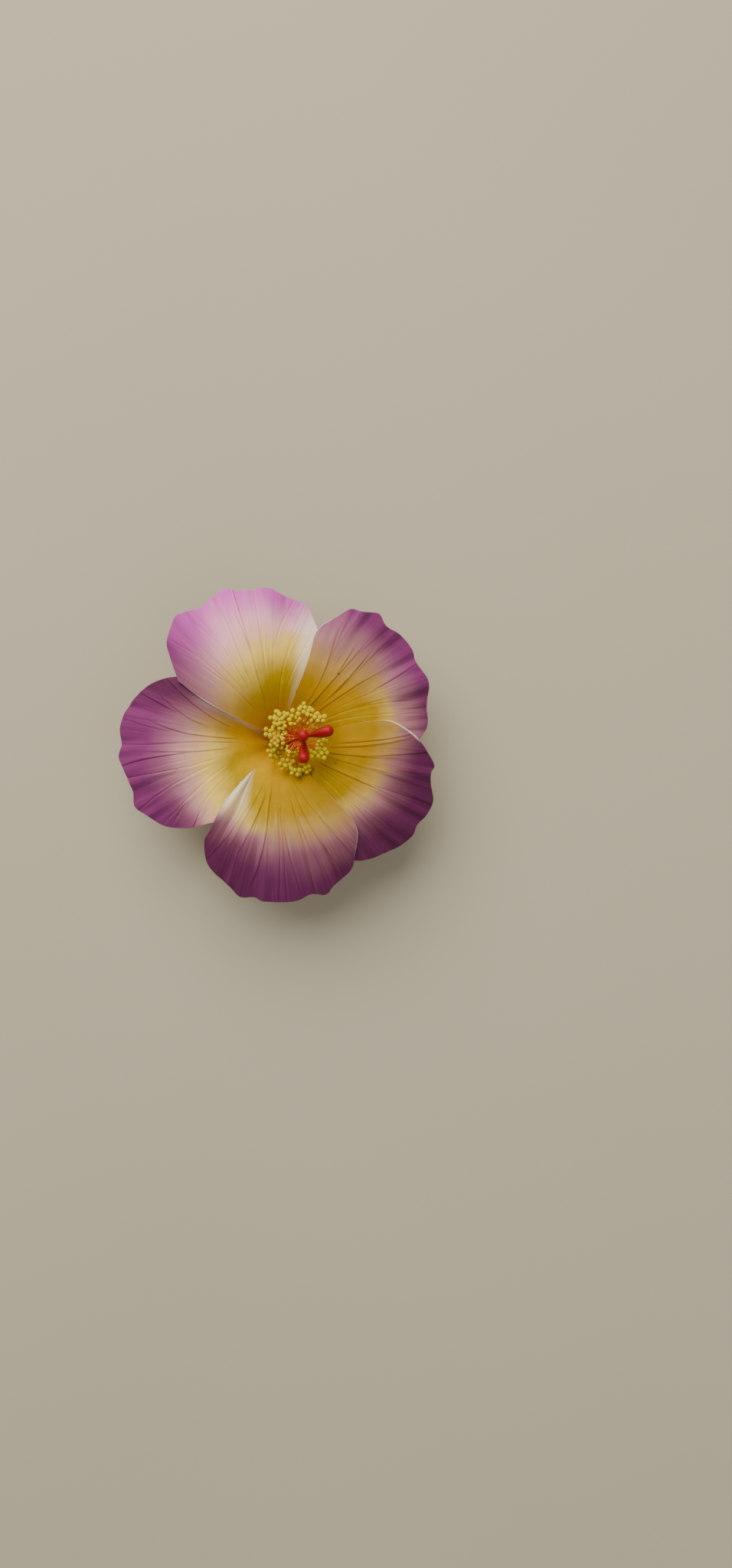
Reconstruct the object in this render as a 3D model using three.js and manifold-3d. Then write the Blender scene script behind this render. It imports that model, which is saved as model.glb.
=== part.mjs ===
// An open hibiscus flower, cut off short and laid on its back, so that it faces up.
// It rests on the tips of three bracts. Millimetres, +Z up along the flower's axis.
// Bearings are degrees counter-clockwise from +X, seen from above.

import * as THREE from "three";
import { mergeVertices } from "three/addons/utils/BufferGeometryUtils.js";
import Module from "manifold-3d";

const wasm = await Module();
wasm.setup();

// ---- corolla: the funnel and the reflexed limb that all five petals follow ----
const CLAW_RADIUS = 3.2; // where a petal's narrow foot starts
const CLAW_HEIGHT = 11.7;
const CREST_RADIUS = 30; // the funnel opens up to here
const CREST_HEIGHT = 34;
const FUNNEL_POWER = 2.2; // how early the funnel wall turns flat
const RIM_RADIUS = 55;
const RIM_DROP = 7; // how far the limb bends back below the crest
const CLAW_PINCH = 0.5; // share of its spread that a petal loses at the foot
const PINCH_LENGTH = 3;

// ---- petal blade ----
const BLADE_THICKNESS = 0.75;
const RIM_THICKNESS = 0.62;
const OVERLAP_LIFT = 0.68; // a margin rides this far above or below the shared funnel
const OVERLAP_SHARE = 0.5; // the lift is complete this far out from the midrib
const RIM_WAVE_START = 28;
const RIM_WAVES = [
  { height: 0.54, perTurn: 19, phase: 0.6 },
  { height: 0.36, perTurn: 31, phase: 2.1 },
];
const PLEATS = 9; // moulded vein ridges across a petal
const PLEAT_HEIGHT = 0.16;
const PLEAT_START = [0.25, 0.5]; // they rise between these shares of the petal's length
const SWELL_START = 8; // side margins swell between these two radii
const SWELL_END = 37;
const PETAL_COLUMNS = 34;
const PETAL_ROWS = 9;

// Each margin runs over the rim from the left corner to the right corner, as seen
// from the centre: [bearing, distance from the axis]. side: +1 lies over its
// neighbour there, -1 lies under it. swell: degrees that a side margin bulges.
const PETALS = {
  petal_left: {
    side: { left: -1, right: -1 },
    swell: { left: 0, right: 0 },
    margin: [
      [240, 30], [235, 34.5], [231, 37.5], [226, 42.5], [218, 48.7], [211, 51.7], [205, 54.6],
      [199, 53], [190, 54.5], [186, 55.6], [182, 54.1], [175, 54.6], [167, 52.8], [159, 49.2],
      [153, 45.4], [147, 40], [142, 33],
    ],
  },
  petal_upper_left: {
    side: { left: 1, right: -1 },
    swell: { left: 2.5, right: 0 },
    margin: [
      [149, 38.5], [146, 41.4], [142, 45.9], [138, 50.6], [130, 55.4], [126, 55.2], [120, 53.2],
      [115, 54.2], [109, 56], [104, 53.7], [98, 53], [93, 53.4], [87, 50.6], [81, 48.9],
      [76, 47.2], [72, 43.6], [66, 38.5], [60, 32],
    ],
  },
  petal_upper_right: {
    side: { left: 1, right: -1 },
    swell: { left: -2.5, right: 0 },
    margin: [
      [69, 39.5], [67, 43.6], [63, 48], [60, 52.6], [56, 53.9], [51, 57.2], [46, 55.5],
      [40, 57.1], [34, 57.3], [29, 56.2], [21, 57.2], [13, 54.1], [6, 53.3], [1, 50.5],
      [-4, 46], [-8, 40], [-10, 33],
    ],
  },
  petal_right: {
    side: { left: 1, right: -1 },
    swell: { left: 0.8, right: 0 },
    margin: [
      [10, 40.5], [8, 43], [5, 45.5], [1, 49.2], [-4, 52.8], [-9, 56.1], [-12, 55.4],
      [-16, 56.4], [-21, 59], [-26, 59], [-31, 57.7], [-35, 58.3], [-41, 56.9], [-47, 54.5],
      [-52, 52.8], [-57, 50], [-62, 45], [-66, 37],
    ],
  },
  petal_bottom: {
    side: { left: 1, right: 1 },
    swell: { left: 0, right: 3 },
    margin: [
      [315, 37], [312, 42.8], [305, 48.4], [300, 52.4], [292, 54.6], [288, 56.7], [283, 55.3],
      [276, 56.9], [266, 56.5], [262, 55.5], [257, 56.2], [252, 53.2], [245, 50.7],
      [240, 48], [235, 42.4], [235, 39],
    ],
  },
};

// ---- stamens: a leaning column, with the anthers around its upper part ----
const COLUMN_FOOT = [0, 0, 11.75];
const COLUMN_BEND = [4.5, 0, 27];
const COLUMN_TIP = [10, 0.4, 43.4];
const COLUMN_FOOT_RADIUS = 2;
const COLUMN_TIP_RADIUS = 1.35;
const COLUMN_SIDES = 10;
const SOCKET_RADIUS = 1; // hole in the tip, which holds the style
const SOCKET_DEPTH = 2.6;
const FILAMENT_RADIUS = 0.32;
const FILAMENT_ROOT = 0.6; // the root sits this far inside the column's skin
const GRAIN_RADIUS = 0.76;
const GRAIN_RADIUS_SPREAD = 0.1;
const GRAIN_SPACING = 1.02; // from the bead on the filament's tip to those round it

// Groups of anthers round the column: from and to are bearings, low and high are
// how far up the column the filaments leave it (0 foot, 1 tip), reach is the
// filament's length, and grains the beads on one anther.
const ANTHER_GROUPS = [
  { from: 115, to: 143, low: 0.66, high: 0.8, reach: 9, count: 4, grains: 4 },
  { from: 150, to: 238, low: 0.48, high: 0.72, reach: 7.2, count: 8, grains: 3 },
  { from: 253, to: 297, low: 0.5, high: 0.66, reach: 10, count: 5, grains: 3 },
  { from: 302, to: 350, low: 0.82, high: 0.94, reach: 9, count: 4, grains: 3 },
  { from: 32, to: 106, low: 0.78, high: 0.94, reach: 9.8, count: 6, grains: 3 },
  { from: 60, to: 300, low: 0.78, high: 0.94, reach: 4.8, count: 4, grains: 1 },
];
const REACH_SPREAD = [0.78, 1.12]; // chance makes a filament shorter or longer by these
const FILAMENT_RISE = [0.05, 0.3]; // of its length, from root to tip
const FILAMENT_SAG = 0.1;

// ---- pistil: the end of the style, which parts into three clubbed stigmas ----
const STYLE_RADIUS = 0.68;
const STYLE_FORK = [10.5, 0.5, 44.9];
const STIGMA_LENGTH = 10.6;
const STIGMA_RADIUS = 1.85;
const STIGMA_NECK_RADIUS = 0.5;
const STIGMA_TIP_SHARE = 0.14; // of its radius, where the last ring of the round end sits
const STIGMAS = [
  { bearing: 20, rise: 87 },
  { bearing: 13, rise: 12 },
  { bearing: -87, rise: 35 },
];

// ---- calyx: a green cup round the claws, cut into five pointed sepals ----
const CALYX_PROFILE = [[4.2, 7.4], [5.9, 11], [7.6, 15.2], [10.3, 19.2], [14.4, 22.4], [17.6, 23.2]];
const CALYX_FOOT = [2.6, 6.3]; // radius and height of the flat underside
const CALYX_FLOOR = 10.9; // height of the floor inside, which carries the claws
const CALYX_FLOOR_SHARE = 0.18; // where the floor meets the wall, along the profile
const CALYX_THICKNESS = 0.8;
const SEPALS = 5;
const SEPAL_BEARING = 70; // they stand opposite the gaps between the petals' claws
const SEPAL_NOTCH = 0.5; // how far up the profile the cup stays whole
const SEPAL_TAPER = 0.85; // 1 would give a sepal straight sides
const CALYX_COLUMNS = 40;
const CALYX_ROWS = 5;

// ---- stalk: the cut pedicel, with its ring of narrow bracts (the epicalyx) ----
// Radius and height, from the cut end, which hangs just clear of the surface, to the
// flat top that carries the calyx.
const STALK_OUTLINE = [[2.3, 0.5], [2.3, 1.2], [2, 2.6], [2.9, 4.6], [2.9, 6]];
const STALK_SIDES = 20;
const BRACTS = 6;
const BRACT_FIRST = -17; // bearing: a foot stands on the side where the column leans
// Radius and height of a bract's root, arch and tip. Every second one is a foot.
const BRACT_FOOT_PATH = [[1.6, 4.2], [7, 6.8], [13, 0.212]];
const BRACT_FREE_PATH = [[1.6, 4.2], [7.4, 7], [12.4, 2.4]];
const BRACT_WIDTH = 2.3;
const BRACT_TIP_SHARE = 0.16; // of that width
const BRACT_TAPER_START = 0.35; // the width shrinks from here on, as a share of the length
const BRACT_THICKNESS = 0.9;
const BRACT_TIP_THICKNESS = 0.63;

const CLEARANCE = 0.3; // between pieces that touch
const GREEN = { color: 0x5d7a34, roughness: 0.6 };
const TAU = 2 * Math.PI;

const radians = THREE.MathUtils.degToRad;
const smooth = THREE.MathUtils.smoothstep;
const lerp = THREE.MathUtils.lerp;

/** A repeatable stand-in for chance, between 0 and 1. */
function seededRandom(seed) {
  let state = seed;
  return () => {
    state = (Math.imul(state, 1664525) + 1013904223) >>> 0;
    return state / 2 ** 32;
  };
}

function polar(bearing, radius, height = 0) {
  const angle = radians(bearing);
  return new THREE.Vector3(radius * Math.cos(angle), radius * Math.sin(angle), height);
}

// ---------------------------------------------------------------- meshes

/** A closed mesh from points and faces, as a geometry. */
function geometryFrom(points, faces) {
  const geometry = new THREE.BufferGeometry().setFromPoints(points);
  geometry.setIndex(faces.flat());
  geometry.computeVertexNormals();
  return geometry;
}

function solidFrom(geometry) {
  const bare = geometry.clone();
  bare.deleteAttribute("normal");
  bare.deleteAttribute("uv");
  const merged = mergeVertices(bare);
  return new wasm.Manifold(new wasm.Mesh({
    numProp: 3,
    vertProperties: new Float32Array(merged.attributes.position.array),
    triVerts: new Uint32Array(merged.index.array),
  }));
}

function geometryOf(solid) {
  const { vertProperties, triVerts } = solid.getMesh();
  const geometry = new THREE.BufferGeometry();
  geometry.setAttribute("position", new THREE.BufferAttribute(vertProperties, 3));
  geometry.setIndex(new THREE.BufferAttribute(triVerts, 1));
  geometry.computeVertexNormals();
  return geometry;
}

/** One body from overlapping ones. A hollow that they seal between them is filled. */
function join(geometries) {
  const whole = geometries.map(solidFrom).reduce((sum, piece) => sum.add(piece));
  const shells = whole.decompose().filter((shell) => shell.volume() > 0);
  return shells.reduce((largest, shell) => (shell.volume() > largest.volume() ? shell : largest));
}

/**
 * A closed blade of the given thickness round a middle surface. Both faces are split
 * into the same triangles, so that they stay apart where the blade waves.
 */
function blade(columns, rows, middle, thicknessAt) {
  const top = [];
  const under = [];
  const step = 1e-3;
  for (let j = 0; j <= rows; j++) {
    for (let i = 0; i <= columns; i++) {
      const u = i / columns;
      const v = j / rows;
      const uBack = Math.max(u - step, 0);
      const vBack = Math.max(v - step, 0);
      const across = middle(uBack + step, v).sub(middle(uBack, v));
      const along = middle(u, vBack + step).sub(middle(u, vBack));
      const normal = across.cross(along).normalize();
      const half = thicknessAt(u, v) / 2;
      top.push(middle(u, v).addScaledVector(normal, half));
      under.push(middle(u, v).addScaledVector(normal, -half));
    }
  }
  const at = (i, j) => j * (columns + 1) + i;
  const faces = [];
  for (let j = 0; j < rows; j++) {
    for (let i = 0; i < columns; i++) {
      const quad = [at(i, j), at(i + 1, j), at(i + 1, j + 1), at(i, j + 1)];
      faces.push([quad[0], quad[1], quad[2]], [quad[0], quad[2], quad[3]]);
    }
  }
  const shift = top.length;
  const backs = faces.map(([a, b, c]) => [a + shift, c + shift, b + shift]);
  const border = [];
  for (let i = 0; i < columns; i++) border.push(at(i, 0));
  for (let j = 0; j < rows; j++) border.push(at(columns, j));
  for (let i = columns; i > 0; i--) border.push(at(i, rows));
  for (let j = rows; j > 0; j--) border.push(at(0, j));
  const walls = border.flatMap((a, k) => {
    const b = border[(k + 1) % border.length];
    return [[b, a, a + shift], [b, a + shift, b + shift]];
  });
  return geometryFrom([...top, ...under], [...faces, ...backs, ...walls]);
}

/** A round body along a curve: radiusAt gives its radius at each share of the length. */
function limb(curve, radiusAt, sides, steps) {
  const frames = curve.computeFrenetFrames(steps, false);
  const points = [curve.getPointAt(0)];
  const faces = [];
  const ringStart = (step) => 1 + step * sides;
  for (let step = 0; step <= steps; step++) {
    const centre = curve.getPointAt(step / steps);
    const radius = radiusAt(step / steps);
    for (let side = 0; side < sides; side++) {
      const angle = (TAU * side) / sides;
      points.push(centre.clone()
        .addScaledVector(frames.normals[step], radius * Math.cos(angle))
        .addScaledVector(frames.binormals[step], radius * Math.sin(angle)));
    }
  }
  points.push(curve.getPointAt(1));
  const end = points.length - 1;
  for (let side = 0; side < sides; side++) {
    const next = (side + 1) % sides;
    faces.push([0, ringStart(0) + next, ringStart(0) + side]);
    for (let step = 0; step < steps; step++) {
      const a = ringStart(step) + side;
      const b = ringStart(step) + next;
      faces.push([a, b, b + sides], [a, b + sides, a + sides]);
    }
    faces.push([end, ringStart(steps) + side, ringStart(steps) + next]);
  }
  return geometryFrom(points, faces);
}

/** A mesh turned round the Z axis: rows of rings between a lower and an upper pole. */
function ringBody(columns, rings, lowerPole, upperPole) {
  const points = [lowerPole, ...rings.flat(), upperPole];
  const faces = [];
  const at = (ring, column) => 1 + ring * columns + (column % columns);
  for (let column = 0; column < columns; column++) {
    faces.push([0, at(0, column + 1), at(0, column)]);
    for (let ring = 0; ring < rings.length - 1; ring++) {
      const a = at(ring, column);
      const b = at(ring, column + 1);
      faces.push([a, b, b + columns], [a, b + columns, a + columns]);
    }
    faces.push([points.length - 1, at(rings.length - 1, column), at(rings.length - 1, column + 1)]);
  }
  return geometryFrom(points, faces);
}

// ---------------------------------------------------------------- petals

/** Height of the shared funnel and limb at a distance from the axis. */
function corollaHeight(radius) {
  if (radius < CREST_RADIUS) {
    const open = (radius - CLAW_RADIUS) / (CREST_RADIUS - CLAW_RADIUS);
    return lerp(CLAW_HEIGHT, CREST_HEIGHT, 1 - (1 - open) ** FUNNEL_POWER);
  }
  return CREST_HEIGHT - RIM_DROP * ((radius - CREST_RADIUS) / (RIM_RADIUS - CREST_RADIUS)) ** 2;
}

/** Slope angle of the funnel wall, zero past the crest. */
function funnelSlope(radius) {
  if (radius >= CREST_RADIUS) return 0;
  const open = (radius - CLAW_RADIUS) / (CREST_RADIUS - CLAW_RADIUS);
  const rise = (CREST_HEIGHT - CLAW_HEIGHT) / (CREST_RADIUS - CLAW_RADIUS);
  return Math.atan(rise * FUNNEL_POWER * (1 - open) ** (FUNNEL_POWER - 1));
}

/** The wave of the rim. Every petal shares it, so that overlapping margins nest. */
function rimWave(angle, radius) {
  const growth = smooth(radius, RIM_WAVE_START, RIM_RADIUS) ** 1.5;
  const waves = RIM_WAVES.map(({ height, perTurn, phase }) => height * Math.sin(perTurn * angle + phase));
  return growth * waves.reduce((sum, wave) => sum + wave);
}

/** The middle surface of a petal: u runs along the margin, v from foot to margin. */
function petalMiddle(petal) {
  const corners = [petal.margin[0][0], petal.margin.at(-1)[0]];
  const midrib = (corners[0] + corners[1]) / 2;
  const halfWidth = (corners[0] - corners[1]) / 2;
  const toPlane = ([bearing, reach]) => {
    const point = polar(bearing - midrib, reach);
    return new THREE.Vector2(point.x, point.y);
  };
  const rim = new THREE.SplineCurve(petal.margin.map(toPlane));
  rim.arcLengthDivisions = 400;
  return (u, v) => {
    const end = rim.getPointAt(Math.min(u, 1));
    const turn = THREE.MathUtils.radToDeg(Math.atan2(end.y, end.x)) / halfWidth;
    const radius = lerp(CLAW_RADIUS, end.length(), v);
    const pinch = 1 - CLAW_PINCH * Math.exp((CLAW_RADIUS - radius) / PINCH_LENGTH);
    const swelling = Math.sin(Math.PI * THREE.MathUtils.clamp(
      (radius - SWELL_START) / (SWELL_END - SWELL_START), 0, 1));
    const swell = (turn > 0 ? petal.swell.left : petal.swell.right) * swelling * turn * Math.abs(turn);
    const bearing = midrib + halfWidth * turn * pinch + swell;
    const offset = (bearing - midrib) / halfWidth;
    const level = (offset > 0 ? petal.side.left : petal.side.right) * OVERLAP_LIFT
      * smooth(Math.abs(offset), 0, OVERLAP_SHARE);
    const pleat = PLEAT_HEIGHT * Math.cos((TAU * PLEATS * (turn + 1)) / 2) * smooth(v, ...PLEAT_START);
    const slope = funnelSlope(radius);
    const height = corollaHeight(radius) + rimWave(radians(bearing), radius);
    return polar(
      bearing,
      radius - (level + pleat) * Math.sin(slope),
      height + (level + pleat) * Math.cos(slope),
    );
  };
}

function petal(shape) {
  const thicknessAt = (u, v) => lerp(BLADE_THICKNESS, RIM_THICKNESS, v);
  return blade(PETAL_COLUMNS, PETAL_ROWS, petalMiddle(shape), thicknessAt);
}

// ---------------------------------------------------------------- stamens and pistil

const columnAxis = new THREE.QuadraticBezierCurve3(
  new THREE.Vector3(...COLUMN_FOOT),
  new THREE.Vector3(...COLUMN_BEND),
  new THREE.Vector3(...COLUMN_TIP),
);

const columnRadius = (share) => lerp(COLUMN_FOOT_RADIUS, COLUMN_TIP_RADIUS, share);

/** One bead of an anther. */
function grain(centre, radius) {
  return new THREE.IcosahedronGeometry(radius, 0).translate(centre.x, centre.y, centre.z);
}

/** A filament from the column to an anther, with the anther's beads heaped on its end. */
function stamen(random, group, index) {
  const share = lerp(group.low, group.high, random());
  const spread = (index + random()) / group.count;
  const outward = polar(lerp(group.from, group.to, spread), 1);
  const axisPoint = columnAxis.getPointAt(share);
  const reach = group.reach * lerp(...REACH_SPREAD, random());
  const tip = axisPoint.clone().addScaledVector(outward, reach);
  tip.z += reach * lerp(...FILAMENT_RISE, random());
  const root = axisPoint.clone().addScaledVector(outward, columnRadius(share) - FILAMENT_ROOT);
  const bend = root.clone().lerp(tip, 0.5);
  bend.z -= FILAMENT_SAG * reach;
  const path = new THREE.QuadraticBezierCurve3(root, bend, tip);
  const pieces = [limb(path, () => FILAMENT_RADIUS, 4, 2)];
  pieces.push(grain(tip, GRAIN_RADIUS));
  const firstTurn = 360 * random();
  for (let k = 1; k < group.grains; k++) {
    const radius = GRAIN_RADIUS + GRAIN_RADIUS_SPREAD * (2 * random() - 1);
    const around = polar(firstTurn + (360 * k) / (group.grains - 1), GRAIN_SPACING);
    pieces.push(grain(tip.clone().add(around), radius));
  }
  return pieces;
}

function stamens() {
  const random = seededRandom(7);
  const column = limb(columnAxis, columnRadius, COLUMN_SIDES, 7);
  const grown = ANTHER_GROUPS.flatMap((group) =>
    Array.from({ length: group.count }, (_, index) => stamen(random, group, index)).flat());
  const down = columnAxis.getTangentAt(1).multiplyScalar(-SOCKET_DEPTH);
  const up = columnAxis.getTangentAt(1);
  const tip = new THREE.Vector3(...COLUMN_TIP);
  const socketAxis = new THREE.LineCurve3(tip.clone().add(down), tip.clone().add(up));
  const socket = limb(socketAxis, () => SOCKET_RADIUS, COLUMN_SIDES, 1);
  return geometryOf(join([column, ...grown]).subtract(solidFrom(socket)));
}

/** A stigma swells from its neck to a rounded club. */
function stigma({ bearing, rise }) {
  const fork = new THREE.Vector3(...STYLE_FORK);
  const direction = polar(bearing, Math.cos(radians(rise)), Math.sin(radians(rise)));
  const path = new THREE.LineCurve3(fork, fork.clone().addScaledVector(direction, STIGMA_LENGTH));
  const roundStart = 1 - STIGMA_RADIUS / STIGMA_LENGTH;
  const radiusAt = (share) => {
    if (share <= roundStart) {
      return lerp(STIGMA_NECK_RADIUS, STIGMA_RADIUS, smooth(share, 0, roundStart));
    }
    const past = (share - roundStart) / (1 - roundStart);
    return STIGMA_RADIUS * Math.max(Math.sqrt(1 - past ** 2), STIGMA_TIP_SHARE);
  };
  return limb(path, radiusAt, COLUMN_SIDES, 10);
}

function pistil() {
  const tip = new THREE.Vector3(...COLUMN_TIP);
  const depth = columnAxis.getTangentAt(1).multiplyScalar(CLEARANCE - SOCKET_DEPTH);
  const path = new THREE.LineCurve3(tip.add(depth), new THREE.Vector3(...STYLE_FORK));
  const style = limb(path, () => STYLE_RADIUS, COLUMN_SIDES, 2);
  return geometryOf(join([style, ...STIGMAS.map(stigma)]));
}

// ---------------------------------------------------------------- calyx and stalk

/** Share of the calyx profile that stands at a bearing: full at a sepal's tip. */
function sepalShare(bearing) {
  const phase = ((bearing - SEPAL_BEARING) * SEPALS) / 360;
  const offTip = Math.abs(phase - Math.round(phase)) * 2;
  return lerp(1, SEPAL_NOTCH, offTip ** SEPAL_TAPER);
}

function calyx() {
  const profile = new THREE.SplineCurve(CALYX_PROFILE.map(([r, z]) => new THREE.Vector2(r, z)));
  const bearings = Array.from({ length: CALYX_COLUMNS }, (_, k) => (360 * k) / CALYX_COLUMNS);
  const ring = (start, rise, side) => bearings.map((bearing) => {
    const share = lerp(start, sepalShare(bearing), rise);
    const point = profile.getPointAt(share);
    const along = profile.getTangentAt(share);
    const half = (side * CALYX_THICKNESS) / 2;
    return polar(bearing, point.x + along.y * half, point.y - along.x * half);
  });
  const rises = Array.from({ length: CALYX_ROWS + 1 }, (_, row) => row / CALYX_ROWS);
  const foot = bearings.map((bearing) => polar(bearing, CALYX_FOOT[0], CALYX_FOOT[1]));
  const outside = rises.map((rise) => ring(0, rise, 1));
  const inside = rises.map((rise) => ring(CALYX_FLOOR_SHARE, rise, -1)).reverse();
  const floor = bearings.map((bearing) => polar(bearing, CALYX_FOOT[0], CALYX_FLOOR));
  return ringBody(
    CALYX_COLUMNS,
    [foot, ...outside, ...inside, floor],
    new THREE.Vector3(0, 0, CALYX_FOOT[1]),
    new THREE.Vector3(0, 0, CALYX_FLOOR),
  );
}

/** A narrow bract that arches out from the stalk and down again. */
function bract(path, bearing) {
  const arch = new THREE.QuadraticBezierCurve3(
    ...path.map(([radius, height]) => new THREE.Vector3(radius, 0, height)));
  const middle = (u, v) => {
    const spine = arch.getPoint(v);
    const taper = lerp(1, BRACT_TIP_SHARE, smooth(v, BRACT_TAPER_START, 1));
    return new THREE.Vector3(spine.x, (BRACT_WIDTH / 2) * taper * (1 - 2 * u), spine.z);
  };
  const geometry = blade(2, 5, middle, (u, v) => lerp(BRACT_THICKNESS, BRACT_TIP_THICKNESS, v));
  return geometry.rotateZ(radians(bearing));
}

/** The cut stalk with its bracts. */
function stalk() {
  const outline = STALK_OUTLINE.map(([radius, height]) => new THREE.Vector2(radius, height));
  const closed = [new THREE.Vector2(0, outline[0].y), ...outline, new THREE.Vector2(0, outline.at(-1).y)];
  const pedicel = new THREE.LatheGeometry(closed, STALK_SIDES).rotateX(Math.PI / 2);
  const bracts = Array.from({ length: BRACTS }, (_, k) =>
    bract(k % 2 === 0 ? BRACT_FOOT_PATH : BRACT_FREE_PATH, BRACT_FIRST + (360 * k) / BRACTS));
  return geometryOf(join([pedicel, ...bracts]));
}

// ---------------------------------------------------------------- the flower

const flower = new THREE.Group();

function add(name, geometry, finish) {
  const mesh = new THREE.Mesh(geometry, new THREE.MeshStandardMaterial(finish));
  mesh.name = name;
  flower.add(mesh);
}

for (const [name, shape] of Object.entries(PETALS)) {
  add(name, petal(shape), { color: 0xc9a7c4, roughness: 0.55 });
}
add("stamens", stamens(), { color: 0xe6cf3a, roughness: 0.5 });
add("pistil", pistil(), { color: 0xb01018, roughness: 0.6 });
add("calyx", calyx(), GREEN);
add("stalk", stalk(), GREEN);

// The origin is under the middle of the flower's outline, on the surface it rests on.
const outline = new THREE.Box3().setFromObject(flower);
const centre = outline.getCenter(new THREE.Vector3());
for (const mesh of flower.children) {
  mesh.geometry.translate(-centre.x, -centre.y, -outline.min.z);
}

export default flower;
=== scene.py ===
"""An open hibiscus flower, face up on a pale floor, seen from straight above.

Sizes are in millimetres until a mesh is made, and bearings in degrees counter-clockwise
from +X. The shapes repeat the formulas of the flower's solids on a finer grid.
"""

import math

import bpy
import numpy as np
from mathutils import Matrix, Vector


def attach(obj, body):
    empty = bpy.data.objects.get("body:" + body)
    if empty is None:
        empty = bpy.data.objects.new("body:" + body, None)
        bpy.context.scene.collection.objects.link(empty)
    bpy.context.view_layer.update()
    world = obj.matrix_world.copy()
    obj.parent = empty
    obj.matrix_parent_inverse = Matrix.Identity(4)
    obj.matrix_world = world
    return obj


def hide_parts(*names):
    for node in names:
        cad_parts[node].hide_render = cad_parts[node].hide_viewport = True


MM = 0.001
TAU = 2 * math.pi

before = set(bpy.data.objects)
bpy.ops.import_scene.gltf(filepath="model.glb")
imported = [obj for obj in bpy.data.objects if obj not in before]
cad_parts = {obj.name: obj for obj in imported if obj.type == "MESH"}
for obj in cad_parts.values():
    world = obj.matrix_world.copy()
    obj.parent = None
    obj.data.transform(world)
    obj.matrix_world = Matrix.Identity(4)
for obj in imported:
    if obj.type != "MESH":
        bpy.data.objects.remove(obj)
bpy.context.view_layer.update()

# The flower's own axis stands this far from the origin, the middle of its outline.
AXIS = np.array([-0.2065, 1.7215, 0])

# -------- the corolla's sizes

CLAW_RADIUS = 3.2
CLAW_HEIGHT = 11.7
CREST_RADIUS = 30
CREST_HEIGHT = 34
FUNNEL_POWER = 2.2
RIM_RADIUS = 55
RIM_DROP = 7
CLAW_PINCH = 0.14  # less than the solids have, so that the feet close the throat
PINCH_LENGTH = 3
OVERLAP_LIFT = 0.68
OVERLAP_SHARE = 0.5
RIM_WAVE_START = 28
RIM_WAVE_POWER = 1.5
RIM_WAVES = [(0.54, 19, 0.6), (0.36, 31, 2.1)]  # height, waves per turn, phase
RIM_FRILLS = [(0.34, 53, 1.1), (0.2, 79, 0.3)]  # finer waves, close to the rim alone
SWELL_START = 8
SWELL_END = 37

BLADE_THICKNESS = (0.66, 0.5)  # at the foot and at the rim
ROUNDING = 0.32  # a blade's thickness dies away over this last stretch

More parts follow.
